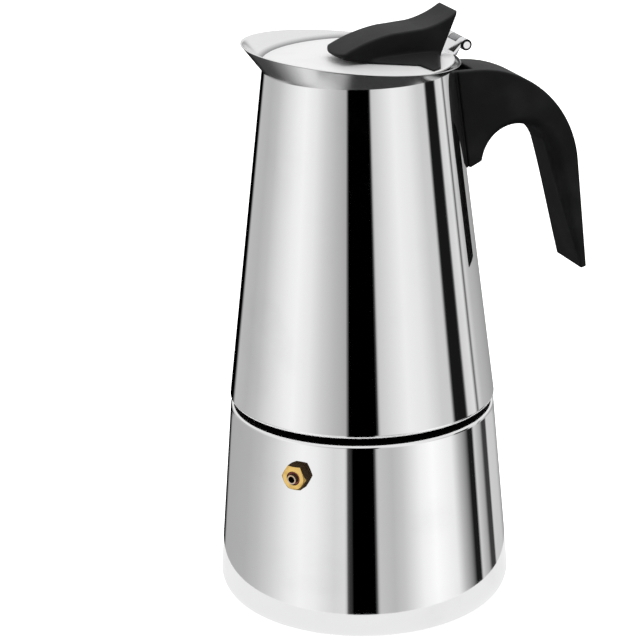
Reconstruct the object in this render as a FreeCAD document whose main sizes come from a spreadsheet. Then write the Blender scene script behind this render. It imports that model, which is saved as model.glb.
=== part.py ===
import FreeCAD, Part
import math
import os
import Sketcher
from FreeCAD import Placement, Rotation, Vector

# Stove-top coffee pot: boiler, funnel and upper vessel, with a hinged lid and a side handle.
# Millimetres. The origin is the middle of the base, +Z is up, the handle is at +X and the spout at -X.

os.makedirs("parts", exist_ok=True)
doc = FreeCAD.newDocument("moka_pot")
sheet = doc.addObject("Spreadsheet::Sheet", "dims")
nodes = []

# How near an edge lies to the place where it is picked: exactly, or by the loose bounds of a curve
PICK_TOLERANCE = 0.01
CURVE_TOLERANCE = 1.0

# A blank or a cutter that has to reach past what it trims is this many times the size given
REACH = 4

# Half width of a thread's ridge as a share of its pitch, and the share of its depth sunk in the wall
THREAD_FLANK = 0.3
THREAD_SINK = 0.25

DIAGONAL = math.sqrt(0.5)
ALONG_Y = Rotation(Vector(0, 0, 1), Vector(0, 1, 0))


class Length:
    """A size: its number, and the sheet expression that gives it."""

    def __init__(self, value, text):
        self.value = value
        self.text = text

    def joined(self, other, sign, value):
        return Length(value, f"({self.text} {sign} {other.text})")

    def __add__(self, other):
        other = length(other)
        return self.joined(other, "+", self.value + other.value)

    def __radd__(self, other):
        return length(other) + self

    def __sub__(self, other):
        other = length(other)
        return self.joined(other, "-", self.value - other.value)

    def __rsub__(self, other):
        return length(other) - self

    def __mul__(self, other):
        other = length(other)
        return self.joined(other, "*", self.value * other.value)

    def __rmul__(self, other):
        return length(other) * self

    def __truediv__(self, other):
        other = length(other)
        return self.joined(other, "/", self.value / other.value)

    def __neg__(self):
        return length(0) - self


def length(size):
    return size if isinstance(size, Length) else Length(float(size), f"{float(size)!r}")


def sine(angle):
    return Length(math.sin(math.radians(angle.value)), f"sin({angle.text} * 1 deg)")


def cosine(angle):
    return Length(math.cos(math.radians(angle.value)), f"cos({angle.text} * 1 deg)")


def dim(alias, value):
    """One driving dimension: a cell of the sheet with its own alias."""
    row = len(sheet.getUsedCells()) // 2 + 1
    sheet.set(f"A{row}", alias)
    sheet.set(f"B{row}", str(value))
    sheet.setAlias(f"B{row}", alias)
    return Length(float(value), f"dims.{alias}")


# Boiler
boiler_base_radius = dim("boiler_base_radius", 50.8)
boiler_top_radius = dim("boiler_top_radius", 45.2)
boiler_height = dim("boiler_height", 69.0)
boiler_wall = dim("boiler_wall", 1.0)
boiler_floor = dim("boiler_floor", 1.6)
boiler_foot_round = dim("boiler_foot_round", 7.6)
boiler_shoulder_round = dim("boiler_shoulder_round", 1.5)
neck_radius = dim("neck_radius", 39.8)
neck_wall = dim("neck_wall", 1.6)
neck_tail = dim("neck_tail", 3.0)
neck_rise = dim("neck_rise", 10.5)

# Safety valve, on a level axis through the boiler wall
valve_angle = dim("valve_angle", 221.0)
valve_drop = dim("valve_drop", 11.5)
valve_flats = dim("valve_flats", 8.6)
valve_head = dim("valve_head", 3.2)
valve_face_radius = dim("valve_face_radius", 4.1)
valve_face_slope = dim("valve_face_slope", 0.72)
valve_shank_radius = dim("valve_shank_radius", 3.6)
valve_shank_proud = dim("valve_shank_proud", 0.5)
valve_bore_radius = dim("valve_bore_radius", 2.3)
valve_seat_wall = dim("valve_seat_wall", 1.0)
valve_seat_radius = dim("valve_seat_radius", 1.3)
valve_nut_flats = dim("valve_nut_flats", 10.0)
valve_nut_height = dim("valve_nut_height", 2.4)
valve_washer_radius = dim("valve_washer_radius", 5.6)
valve_washer_height = dim("valve_washer_height", 1.3)
piston_radius = dim("piston_radius", 1.6)
piston_head = dim("piston_head", 1.0)
piston_head_clearance = dim("piston_head_clearance", 0.2)
piston_proud = dim("piston_proud", 1.2)
piston_hole_radius = dim("piston_hole_radius", 1.1)
piston_hole = dim("piston_hole", 3.0)
piston_clearance = dim("piston_clearance", 0.1)
piston_travel = dim("piston_travel", 1.2)
retainer_height = dim("retainer_height", 1.2)
retainer_recess = dim("retainer_recess", 0.4)
spring_wire = dim("spring_wire", 0.3)
spring_turns = dim("spring_turns", 4)
spring_gap = dim("spring_gap", 0.3)

# Funnel
funnel_clearance = dim("funnel_clearance", 0.5)
funnel_wall = dim("funnel_wall", 0.8)
funnel_flange = dim("funnel_flange", 1.0)
basket_depth = dim("basket_depth", 15.5)
basket_cone = dim("basket_cone", 8.0)
screen_height = dim("screen_height", 0.8)
stem_radius = dim("stem_radius", 5.2)
stem_wall = dim("stem_wall", 0.8)
stem_foot_gap = dim("stem_foot_gap", 6.0)

# Seal and filter above the funnel
gasket_height = dim("gasket_height", 2.4)
gasket_width = dim("gasket_width", 6.5)
gasket_side_gap = dim("gasket_side_gap", 0.5)
plate_height = dim("plate_height", 0.8)
plate_gap = dim("plate_gap", 0.1)
hole_radius = dim("hole_radius", 0.8)
hole_ring_step = dim("hole_ring_step", 5.6)

# Upper vessel
seam_gap = dim("seam_gap", 3.3)
upper_base_radius = dim("upper_base_radius", 45.4)
upper_top_radius = dim("upper_top_radius", 31.8)
upper_top = dim("upper_top", 186.2)
upper_wall = dim("upper_wall", 1.0)
upper_foot_round = dim("upper_foot_round", 0.8)
thread_play = dim("thread_play", 0.5)
thread_depth = dim("thread_depth", 0.8)
thread_pitch = dim("thread_pitch", 3.0)
thread_turns = dim("thread_turns", 1.2)
thread_start = dim("thread_start", 5.0)
floor_height = dim("floor_height", 1.0)
column_bore = dim("column_bore", 4.0)
column_foot_radius = dim("column_foot_radius", 10.0)
column_top_radius = dim("column_top_radius", 6.5)
column_height = dim("column_height", 66.0)
column_neck = dim("column_neck", 5.0)
cap_wall = dim("cap_wall", 1.4)
cap_room = dim("cap_room", 6.0)
outlet_radius = dim("outlet_radius", 2.2)

# Pouring collar: a slanted rim, highest at the spout
collar_wall = dim("collar_wall", 0.9)
rim_flare = dim("rim_flare", 4.95)
rim_shift = dim("rim_shift", 2.4)
rim_rise = dim("rim_rise", 5.25)
rim_tilt = dim("rim_tilt", 6.36)

# Lid and hinge
lid_overhang = dim("lid_overhang", 0.2)
lid_height = dim("lid_height", 0.8)
lid_lift = dim("lid_lift", 1.8)
lid_edge_round = dim("lid_edge_round", 0.3)
pin_reach = dim("pin_reach", 4.0)
pin_lift = dim("pin_lift", 2.8)
pin_radius = dim("pin_radius", 1.2)
pin_length = dim("pin_length", 15.6)
pin_clearance = dim("pin_clearance", 0.05)
knuckle_wall = dim("knuckle_wall", 0.65)
knuckle_gap = dim("knuckle_gap", 0.3)
leaf_width = dim("leaf_width", 15.0)
leaf_thickness = dim("leaf_thickness", 0.8)
leaf_foot = dim("leaf_foot", 4.4)
bracket_width = dim("bracket_width", 6.4)
bracket_thickness = dim("bracket_thickness", 1.2)

# Finger rest on the lid
knob_heel_inset = dim("knob_heel_inset", 6.0)
knob_overhang = dim("knob_overhang", 6.4)
knob_half_width = dim("knob_half_width", 8.5)
knob_length = dim("knob_length", 33.5)
knob_front_arc = dim("knob_front_arc", 21.0)
knob_front_sag = dim("knob_front_sag", 1.9)
knob_front_lift = dim("knob_front_lift", 2.3)
knob_front_height = dim("knob_front_height", 2.9)
knob_brow = dim("knob_brow", 16.5)
knob_brow_height = dim("knob_brow_height", 9.2)
knob_saddle = dim("knob_saddle", 6.0)
knob_saddle_height = dim("knob_saddle_height", 9.8)
knob_height = dim("knob_height", 14.6)
knob_back_arc = dim("knob_back_arc", 52.0)
knob_tail_arc = dim("knob_tail_arc", 30.0)
knob_edge_round = dim("knob_edge_round", 0.8)
skirt_front = dim("skirt_front", 25.7)
skirt_height = dim("skirt_height", 2.0)
skirt_edge = dim("skirt_edge", 0.5)
skirt_waist = dim("skirt_waist", 11.7)
skirt_waist_width = dim("skirt_waist_width", 18.3)
wing_inset = dim("wing_inset", 0.5)
wing_front_angle = dim("wing_front_angle", 60.0)
wing_rear_angle = dim("wing_rear_angle", 52.0)
screw_radius = dim("screw_radius", 1.5)
screw_head_radius = dim("screw_head_radius", 2.6)
screw_head_height = dim("screw_head_height", 1.5)
screw_depth = dim("screw_depth", 5.5)
screw_clearance = dim("screw_clearance", 0.1)
screw_front = dim("screw_front", 18.0)
screw_spacing = dim("screw_spacing", 12.0)

# Handle
handle_top = dim("handle_top", 183.0)
handle_arc_radius = dim("handle_arc_radius", 38.4)
handle_arc_reach = dim("handle_arc_reach", 6.6)
handle_outer_lean = dim("handle_outer_lean", 5.2)
handle_inner_lean = dim("handle_inner_lean", 15.5)
handle_tip_level = dim("handle_tip_level", 109.8)
handle_tip_drop = dim("handle_tip_drop", 0.6)
arch_radius = dim("arch_radius", 12.7)
arch_reach = dim("arch_reach", 15.2)
arch_rise = dim("arch_rise", 5.2)
arch_left_angle = dim("arch_left_angle", 170.0)
root_bottom = dim("root_bottom", 150.0)
root_toe = dim("root_toe", 4.4)
handle_root_width = dim("handle_root_width", 18.4)
handle_tip_width = dim("handle_tip_width", 20.0)
handle_outer_round = dim("handle_outer_round", 0.8)
handle_arch_round = dim("handle_arch_round", 1.2)
handle_grip_round = dim("handle_grip_round", 4.5)
handle_tip_round = dim("handle_tip_round", 0.6)
tongue_reach = dim("tongue_reach", 16.5)
tongue_level = dim("tongue_level", 168.0)
tongue_height = dim("tongue_height", 8.0)
tongue_width = dim("tongue_width", 8.0)
tongue_clearance = dim("tongue_clearance", 0.2)
handle_screw_reach = dim("handle_screw_reach", 11.5)
handle_screw_radius = dim("handle_screw_radius", 2.0)
handle_screw_head_radius = dim("handle_screw_head_radius", 3.4)
handle_screw_head = dim("handle_screw_head", 2.4)
handle_screw_seat = dim("handle_screw_seat", 4.0)
handle_screw_bite = dim("handle_screw_bite", 7.0)
handle_screw_socket = dim("handle_screw_socket", 3.0)
handle_screw_play = dim("handle_screw_play", 0.2)
pocket_reach = dim("pocket_reach", 6.7)
pocket_width = dim("pocket_width", 12.4)
pocket_depth = dim("pocket_depth", 3.0)
root_groove_reach = dim("root_groove_reach", 0.7)
root_groove_width = dim("root_groove_width", 0.5)
root_groove_depth = dim("root_groove_depth", 0.5)

# Levels and radii that follow from the driving dimensions
upper_base = boiler_height + seam_gap
upper_height = upper_top - upper_base
upper_slope = (upper_base_radius - upper_top_radius) / upper_height
boiler_slope = (boiler_base_radius - boiler_top_radius) / boiler_height
neck_bore = neck_radius - neck_wall
neck_top = boiler_height + neck_rise
flange_top = neck_top + funnel_flange
plate_base = flange_top + gasket_height
plate_top = plate_base + plate_height
floor_base = plate_top + plate_gap
floor_top = floor_base + floor_height
thread_crest = neck_radius + thread_depth
ring_crest = thread_crest + thread_play
ring_bore = ring_crest + thread_depth
gasket_radius = ring_crest - gasket_side_gap
valve_level = boiler_height - valve_drop
valve_reach = boiler_base_radius - boiler_slope * valve_level
rim_radius = upper_top_radius + rim_flare
rim_level = upper_top + rim_rise
lid_radius = upper_top_radius + lid_overhang
lid_base = upper_top + lid_lift
lid_top = lid_base + lid_height
pin_x = upper_top_radius + pin_reach
pin_z = lid_top + pin_lift
knob_heel = lid_radius - knob_heel_inset
knob_tail = knob_heel + knob_overhang
knuckle_bore = pin_radius + pin_clearance
knuckle_radius = knuckle_bore + knuckle_wall
column_top = floor_base + column_height
handle_arc_x = upper_top_radius + handle_arc_reach
handle_arc_z = handle_top - handle_arc_radius


def upper_radius(level):
    """Outer radius of the upper vessel at a level."""
    return upper_base_radius - upper_slope * (level - upper_base)


def rim_at_hinge(radius):
    """Place on the plane of the rim, towards the hinge, in X and Z."""
    return (radius * cosine(rim_tilt) - rim_shift, rim_level - radius * sine(rim_tilt))


def bind(item, **sizes):
    """Ties properties of an object to sizes."""
    for name, size in sizes.items():
        item.setExpression(name, length(size).text)
    return item


def place(item, x=0, y=0, z=0, rotation=Rotation()):
    """Puts an object at a spot that follows the sheet."""
    spot = [length(size) for size in (x, y, z)]
    item.Placement = Placement(Vector(*[size.value for size in spot]), rotation)
    for axis, size in zip("xyz", spot):
        item.setExpression(f"Placement.Base.{axis}", size.text)
    return item


def node(item, name):
    """Marks a finished piece, whose label names its file."""
    item.Label = name
    nodes.append(item)
    return item


def cylinder(name, radius, height, **spot):
    item = bind(doc.addObject("Part::Cylinder", name), Radius=radius, Height=height)
    return place(item, **spot)


def cone(name, radius, top_radius, height, **spot):
    item = bind(doc.addObject("Part::Cone", name), Radius1=radius, Radius2=top_radius, Height=height)
    return place(item, **spot)


def box(name, x_size, y_size, z_size, x, z):
    """A block from x and z, evenly about the plane of X and Z."""
    item = bind(doc.addObject("Part::Box", name), Length=x_size, Width=y_size, Height=z_size)
    return place(item, x=x, y=-(length(y_size) / 2), z=z)


def hexagon(name, flats, height, **spot):
    item = doc.addObject("Part::Prism", name)
    item.Polygon = 6
    bind(item, Circumradius=flats / math.sqrt(3.0), Height=height)
    return place(item, **spot)


def boolean(kind, name, first, second):
    item = doc.addObject(f"Part::{kind}", name)
    item.Base = first
    item.Tool = second
    return item


def cut(name, base, *tools):
    for tool in tools:
        base = boolean("Cut", name, base, tool)
    return base


def fuse(name, first, *others):
    for other in others:
        first = boolean("Fuse", name, first, other)
    return first


def origin_feature(body, role):
    return next(item for item in body.Origin.OriginFeatures if item.Role == role)


def new_sketch(body, plane):
    sketch = body.newObject("Sketcher::SketchObject", f"{body.Name}_sketch")
    sketch.AttachmentSupport = (origin_feature(body, plane), [""])
    sketch.MapMode = "FlatFace"
    return sketch


def arc_between(start, end, radius):
    """The short arc between two points: counter-clockwise where radius is positive."""
    chord = end - start
    half = chord.Length / 2
    side = Vector(-chord.y, chord.x, 0).normalize()
    rise = math.sqrt(max(radius * radius - half * half, 0.0))
    centre = (start + end) / 2 + side * math.copysign(rise, radius)
    first, last = (start, end) if radius > 0 else (end, start)
    angles = [math.atan2(point.y - centre.y, point.x - centre.x) for point in (first, last)]
    return Part.ArcOfCircle(Part.Circle(centre, Vector(0, 0, 1), abs(radius)), *angles)


def outline(body, plane, corners):
    """A closed sketch. A corner is (x, y), or (x, y, radius) where an arc leads to the next corner."""
    sketch = new_sketch(body, plane)
    spots = [tuple(length(size) for size in corner) for corner in corners]
    points = [Vector(spot[0].value, spot[1].value, 0) for spot in spots]
    constraints = []
    bindings = []
    ends = []
    for index, spot in enumerate(spots):
        start = points[index]
        end = points[(index + 1) % len(points)]
        if len(spot) == 2:
            sketch.addGeometry(Part.LineSegment(start, end))
            ends.append((1, 2))
            continue
        radius = spot[2]
        sketch.addGeometry(arc_between(start, end, radius.value))
        ends.append((1, 2) if radius.value > 0 else (2, 1))
        bindings.append((len(constraints), radius if radius.value > 0 else -radius))
        constraints.append(Sketcher.Constraint("Radius", index, abs(radius.value)))
    for index, spot in enumerate(spots):
        following = (index + 1) % len(spots)
        constraints.append(
            Sketcher.Constraint("Coincident", index, ends[index][1], following, ends[following][0])
        )
        for kind, size in zip(("DistanceX", "DistanceY"), spot):
            bindings.append((len(constraints), size))
            constraints.append(Sketcher.Constraint(kind, -1, 1, index, ends[index][0], size.value))
    sketch.addConstraint(constraints)
    for number, size in bindings:
        sketch.setExpression(f"Constraints[{number}]", size.text)
    return sketch


def circle(body, radius, x=0, plane="XY_Plane"):
    """A sketch of one circle, its centre on the sketch's own X axis."""
    sketch = new_sketch(body, plane)
    radius = length(radius)
    x = length(x)
    sketch.addGeometry(Part.Circle(Vector(x.value, 0, 0), Vector(0, 0, 1), radius.value))
    sketch.addConstraint(
        [
            Sketcher.Constraint("Radius", 0, radius.value),
            Sketcher.Constraint("DistanceX", -1, 1, 0, 3, x.value),
            Sketcher.Constraint("PointOnObject", 0, 3, -1),
        ]
    )
    sketch.setExpression("Constraints[0]", radius.text)
    sketch.setExpression("Constraints[1]", x.text)
    return sketch


def raise_sketch(sketch, level, x=0, tilt=None):
    """Lifts a level sketch, moves it along X and tilts it about Y."""
    level = length(level)
    x = length(x)
    turn = Rotation(Vector(0, 1, 0), tilt.value if tilt else 0)
    sketch.AttachmentOffset = Placement(Vector(x.value, 0, level.value), turn)
    sketch.setExpression("AttachmentOffset.Base.z", level.text)
    sketch.setExpression("AttachmentOffset.Base.x", x.text)
    if tilt:
        sketch.setExpression("AttachmentOffset.Rotation.Angle", tilt.text)
    return sketch


def turned(name, corners):
    """A piece turned about Z from its outline in X and Z."""
    body = doc.addObject("PartDesign::Body", name)
    sketch = outline(body, "XZ_Plane", corners)
    feature = body.newObject("PartDesign::Revolution", f"{name}_turn")
    feature.Profile = sketch
    feature.ReferenceAxis = (sketch, ["V_Axis"])
    feature.Angle = 360
    return body


def padded(name, plane, corners, thickness):
    """A piece of even thickness about the plane of its outline."""
    body = doc.addObject("PartDesign::Body", name)
    feature = body.newObject("PartDesign::Pad", f"{name}_pad")
    feature.Profile = outline(body, plane, corners)
    feature.SideType = "Symmetric"
    bind(feature, Length=thickness)
    return body


def rounded(body, radius, wanted):
    """Rounds the edges of a body for which wanted(edge) is true."""
    doc.recompute()
    base = body.Tip
    edges = [f"Edge{number}" for number, edge in enumerate(base.Shape.Edges, 1) if wanted(edge)]
    feature = body.newObject("PartDesign::Fillet", f"{body.Name}_round")
    feature.Base = (base, edges)
    bind(feature, Radius=radius)
    return body


def filleted(name, base, *rules):
    """Rounds edges of a solid. A rule is a test for edges and the radii at their upper and lower ends."""
    doc.recompute()
    item = doc.addObject("Part::Fillet", name)
    item.Base = base
    picked = []
    for number, edge in enumerate(base.Shape.Edges, 1):
        for wanted, upper, lower in rules:
            if wanted(edge):
                falling = edge.firstVertex(True).Z >= edge.lastVertex(True).Z
                radii = (upper.value, lower.value)
                picked.append((number, *(radii if falling else reversed(radii))))
    item.Edges = picked
    return item


def ring_at(level, radius):
    """Picks the round edge at a level and radius."""
    level = length(level).value
    radius = length(radius).value

    def wanted(edge):
        bounds = edge.BoundBox
        return all(
            abs(found - asked) < PICK_TOLERANCE
            for found, asked in ((bounds.ZMin, level), (bounds.ZMax, level), (bounds.XMax, radius))
        )

    return wanted


def threaded(body, root_radius, crest_radius, start):
    """Adds a helical ridge from a root radius to a crest radius, inside or outside."""
    sink = thread_depth * THREAD_SINK
    sink = sink if crest_radius.value > root_radius.value else -sink
    half = thread_pitch * THREAD_FLANK
    profile = [(root_radius - sink, start - half), (crest_radius, start), (root_radius - sink, start + half)]
    feature = body.newObject("PartDesign::AdditiveHelix", f"{body.Name}_thread")
    feature.Profile = outline(body, "XZ_Plane", profile)
    feature.ReferenceAxis = (feature.Profile[0], ["V_Axis"])
    feature.Mode = "pitch-turns-angle"
    bind(feature, Pitch=thread_pitch, Turns=thread_turns)
    return body


def perforated(name, radius, base, height):
    """A round plate with rings of holes, six more in each ring."""
    body = doc.addObject("PartDesign::Body", name)
    plate = body.newObject("PartDesign::Pad", f"{name}_pad")
    plate.Profile = raise_sketch(circle(body, radius), base)
    bind(plate, Length=height)
    rings = int((radius.value - 2 * hole_radius.value) / hole_ring_step.value)
    for ring in range(1, rings + 1):
        hole = body.newObject("PartDesign::Pocket", f"{name}_hole")
        hole.Profile = raise_sketch(circle(body, hole_radius, hole_ring_step * ring), base)
        hole.Type = "ThroughAll"
        hole.SideType = "Symmetric"
        pattern = body.newObject("PartDesign::PolarPattern", f"{name}_ring")
        pattern.Originals = [hole]
        pattern.Axis = (origin_feature(body, "Z_Axis"), [""])
        pattern.Angle = 360
        pattern.Occurrences = 6 * ring
        body.Tip = pattern
    return body


def across(name, radius, width, x, z):
    """A cylinder along Y, evenly about the plane of X and Z."""
    return cylinder(name, radius, width, x=x, y=-(length(width) / 2), z=z, rotation=ALONG_Y)


def on_valve(distance):
    """Place and turn of a valve piece whose base is this far out of the boiler wall."""
    reach = valve_reach + distance
    heading = math.radians(valve_angle.value)
    outward = Vector(math.cos(heading), math.sin(heading), 0)
    return {
        "x": reach * cosine(valve_angle),
        "y": reach * sine(valve_angle),
        "z": valve_level,
        "rotation": Rotation(Vector(0, 0, 1), outward),
    }


# Plain solids of the outside walls, to which other pieces are fitted
boiler_outside = cone("boiler_outside", boiler_base_radius, boiler_top_radius, boiler_height)
boiler_inside = cone(
    "boiler_inside", boiler_base_radius - boiler_wall, boiler_top_radius - boiler_wall, boiler_height
)
upper_outside = cone("upper_outside", upper_base_radius, upper_top_radius, upper_height, z=upper_base)


# Boiler

def make_boiler_shell():
    def inside(level):
        return boiler_base_radius - boiler_slope * level - boiler_wall

    ceiling = boiler_height - boiler_wall
    body = turned(
        "boiler_blank",
        [
            (0, 0),
            (boiler_base_radius, 0),
            (boiler_top_radius, boiler_height),
            (neck_radius, boiler_height),
            (neck_radius, ceiling),
            (inside(ceiling), ceiling),
            (inside(boiler_floor), boiler_floor),
            (0, boiler_floor),
        ],
    )
    rounded(body, boiler_foot_round, ring_at(0, boiler_base_radius))
    rounded(body, boiler_foot_round - boiler_wall, ring_at(boiler_floor, inside(boiler_floor)))
    rounded(body, boiler_shoulder_round, ring_at(boiler_height, boiler_top_radius))
    depth = valve_washer_radius + boiler_wall
    hole = cylinder("valve_hole", valve_shank_radius, depth * REACH, **on_valve(-depth))
    node(cut("boiler_drilled", body, hole), "boiler_shell")


def make_boiler_neck():
    foot = boiler_height - neck_tail
    body = turned(
        "neck_blank",
        [(neck_bore, foot), (neck_radius, foot), (neck_radius, neck_top), (neck_bore, neck_top)],
    )
    node(threaded(body, neck_radius, thread_crest, boiler_height + thread_start), "boiler_neck")


# Safety valve

nut_face = boiler_wall + valve_washer_height
shank_end = nut_face + valve_nut_height + valve_shank_proud
piston_seat = valve_seat_wall - shank_end
retainer_base = valve_head - retainer_recess - retainer_height


def make_valve_body():
    sink = boiler_wall + valve_washer_height
    head = hexagon("valve_hexagon", valve_flats, valve_head + sink, **on_valve(-sink))
    wide = valve_face_radius + valve_face_slope * (valve_head + sink)
    bevel = cone("valve_bevel", wide, valve_face_radius, valve_head + sink, **on_valve(-sink))
    head = cut("valve_saddle", boolean("Common", "valve_bevelled", head, bevel), boiler_outside)
    shank = cylinder("valve_shank", valve_shank_radius, shank_end + valve_head / 2, **on_valve(-shank_end))
    bore = cylinder("valve_bore", valve_bore_radius, valve_head - piston_seat, **on_valve(piston_seat))
    seat = cylinder("valve_seat", valve_seat_radius, shank_end + piston_seat, **on_valve(-shank_end))
    node(cut("valve_bored", fuse("valve_solid", head, shank), bore, seat), "valve_body")


def make_valve_fastening():
    ring = cylinder("washer_disc", valve_washer_radius, nut_face, **on_valve(-nut_face))
    ring = boolean("Common", "washer_fitted", ring, boiler_inside)
    washer_hole = cylinder("washer_hole", valve_shank_radius, nut_face, **on_valve(-nut_face))
    node(cut("washer_ring", ring, washer_hole), "valve_washer")
    spot = on_valve(-(nut_face + valve_nut_height))
    nut = hexagon("nut_hexagon", valve_nut_flats, valve_nut_height, **spot)
    nut_hole = cylinder("nut_hole", valve_shank_radius, valve_nut_height, **spot)
    node(cut("nut_ring", nut, nut_hole), "valve_nut")


def make_valve_inside():
    spot = on_valve(retainer_base)
    disc = cylinder("retainer_disc", valve_bore_radius, retainer_height, **spot)
    opening = cylinder("retainer_hole", piston_radius + piston_clearance, retainer_height, **spot)
    node(cut("retainer_ring", disc, opening), "valve_retainer")

    head = cylinder(
        "piston_disc", valve_bore_radius - piston_head_clearance, piston_head, **on_valve(piston_seat)
    )
    front = valve_head + piston_proud
    stem = cylinder("piston_stem", piston_radius, front - piston_seat, **on_valve(piston_seat))
    hole = cylinder("piston_hole_tool", piston_hole_radius, piston_hole, **on_valve(front - piston_hole))
    node(cut("piston_drilled", fuse("piston_solid", head, stem), hole), "valve_piston")

    start = piston_seat + piston_head + piston_travel + spring_gap + spring_wire / 2
    body = doc.addObject("PartDesign::Body", "spring_coil")
    coil = body.newObject("PartDesign::AdditiveHelix", "spring_helix")
    middle = (piston_radius + valve_bore_radius) / 2
    coil.Profile = circle(body, spring_wire / 2, middle, plane="XZ_Plane")
    coil.ReferenceAxis = (coil.Profile[0], ["V_Axis"])
    coil.Mode = "height-turns-angle"
    bind(coil, Height=retainer_base - spring_wire / 2 - start, Turns=spring_turns)
    node(place(body, **on_valve(start)), "valve_spring")


# Funnel

basket_radius = neck_bore - funnel_clearance
basket_bore = basket_radius - funnel_wall
basket_base = flange_top - basket_depth
cone_base = basket_base - basket_cone


def make_funnel():
    basket = turned(
        "basket_blank",
        [
            (stem_radius, cone_base),
            (basket_radius, basket_base),
            (basket_radius, neck_top),
            (neck_radius, neck_top),
            (neck_radius, flange_top),
            (basket_bore, flange_top),
            (basket_bore, basket_base),
            (stem_radius, cone_base + funnel_wall),
        ],
    )
    node(basket, "funnel_basket")
    node(perforated("screen_blank", basket_bore, basket_base, screen_height), "funnel_screen")
    foot = boiler_floor + stem_foot_gap
    top = cone_base + funnel_wall
    bore = stem_radius - stem_wall
    stem = turned("stem_blank", [(bore, foot), (stem_radius, foot), (stem_radius, top), (bore, top)])
    node(stem, "funnel_stem")


def make_seal():
    inner = gasket_radius - gasket_width
    ring = turned(
        "gasket_blank",
        [(inner, flange_top), (gasket_radius, flange_top), (gasket_radius, plate_base), (inner, plate_base)],
    )
    node(ring, "gasket")
    node(perforated("plate_blank", gasket_radius, plate_base, plate_height), "filter_plate")


# Upper vessel

def make_upper_vessel():
    def inside(level):
        return upper_radius(level) - upper_wall

    shell = turned(
        "upper_blank",
        [
            (inside(upper_base), upper_base),
            (upper_base_radius, upper_base),
            (upper_top_radius, upper_top),
            (inside(upper_top), upper_top),
        ],
    )
    node(rounded(shell, upper_foot_round, ring_at(upper_base, upper_base_radius)), "upper_shell")

    ring = turned(
        "ring_blank",
        [
            (ring_bore, upper_base),
            (inside(upper_base), upper_base),
            (inside(floor_base), floor_base),
            (ring_bore, floor_base),
        ],
    )
    node(threaded(ring, ring_bore, ring_crest, boiler_height + thread_start), "thread_ring")

    floor = turned(
        "floor_blank",
        [
            (column_foot_radius, floor_base),
            (inside(floor_base), floor_base),
            (inside(floor_top), floor_top),
            (column_foot_radius, floor_top),
        ],
    )
    node(floor, "upper_floor")


def make_column():
    shoulder = column_top - column_neck
    column = turned(
        "column_blank",
        [
            (column_bore, floor_base),
            (column_foot_radius, floor_base),
            (column_foot_radius, floor_top),
            (column_top_radius, shoulder),
            (column_top_radius, column_top),
            (column_bore, column_top),
        ],
    )
    node(column, "coffee_column")
    roof = column_top + cap_room
    outside = column_top_radius + cap_wall
    cap = turned(
        "cap_blank",
        [
            (column_top_radius, shoulder),
            (outside, shoulder),
            (outside, roof + cap_wall),
            (0, roof + cap_wall),
            (0, roof),
            (column_top_radius, roof),
        ],
    )
    outlets = across("outlets", outlet_radius, outside * REACH, 0, column_top + cap_room / 2)
    node(cut("cap_drilled", cap, outlets), "column_cap")


def make_collar():
    body = doc.addObject("PartDesign::Body", "collar_blank")
    for kind, thickness, shell_wall in (("Additive", 0, 0), ("Subtractive", collar_wall, upper_wall)):
        foot = raise_sketch(circle(body, upper_top_radius - shell_wall), upper_top)
        rim = raise_sketch(circle(body, rim_radius - thickness), rim_level, -rim_shift, rim_tilt)
        loft = body.newObject(f"PartDesign::{kind}Loft", f"collar_{kind}")
        loft.Profile = foot
        loft.Sections = [rim]
        loft.Ruled = True
    node(body, "collar")


# Lid and hinge

screw_places = [knob_heel - screw_front + screw_spacing * number for number in range(2)]


def make_lid_disc():
    disc = turned("lid_blank", [(0, lid_base), (lid_radius, lid_base), (lid_radius, lid_top), (0, lid_top)])
    rounded(disc, lid_edge_round, ring_at(lid_top, lid_radius))
    hole_size = screw_radius + screw_clearance
    holes = [cylinder("lid_hole", hole_size, lid_height, x=x, z=lid_base) for x in screw_places]
    node(cut("lid_drilled", disc, *holes), "lid_disc")


def make_lid_leaf():
    """The lid's half of the hinge: a foot on the lid, a slope and two knuckles."""
    touch = knuckle_radius * DIAGONAL
    slope_end_x = pin_x - touch
    slope_end_z = pin_z + touch
    bend_x = slope_end_x - (slope_end_z - lid_top - leaf_thickness)
    under_x = bend_x - leaf_thickness + leaf_thickness / DIAGONAL
    under_end = slope_end_z - leaf_thickness / DIAGONAL
    strip = padded(
        "leaf_strip",
        "XZ_Plane",
        [
            (bend_x - leaf_foot, lid_top),
            (under_x, lid_top),
            (under_x + under_end - lid_top, under_end),
            (slope_end_x, slope_end_z),
            (bend_x, lid_top + leaf_thickness),
            (bend_x - leaf_foot, lid_top + leaf_thickness),
        ],
        leaf_width,
    )
    curl = across("leaf_curl", knuckle_radius, leaf_width, pin_x, pin_z)
    bore = across("leaf_bore", knuckle_bore, leaf_width, pin_x, pin_z)
    notch = across("leaf_notch", knuckle_radius + knuckle_gap, bracket_width + knuckle_gap * 2, pin_x, pin_z)
    node(cut("leaf_bored", fuse("leaf_solid", strip, curl), bore, notch), "lid_leaf")


def make_hinge_bracket():
    """The vessel's half of the hinge: a strap that stands on the rim, and one knuckle."""
    half = bracket_thickness / 2
    strap = padded(
        "bracket_strap",
        "XZ_Plane",
        [
            rim_at_hinge(rim_radius - collar_wall),
            rim_at_hinge(rim_radius),
            (pin_x + half, pin_z),
            (pin_x - half, pin_z),
        ],
        bracket_width,
    )
    curl = across("bracket_curl", knuckle_radius, bracket_width, pin_x, pin_z)
    bore = across("bracket_bore", pin_radius, bracket_width, pin_x, pin_z)
    node(cut("bracket_bored", fuse("bracket_solid", strap, curl), bore), "hinge_bracket")
    node(across("pin", pin_radius, pin_length, pin_x, pin_z), "hinge_pin")


# Finger rest

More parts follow.
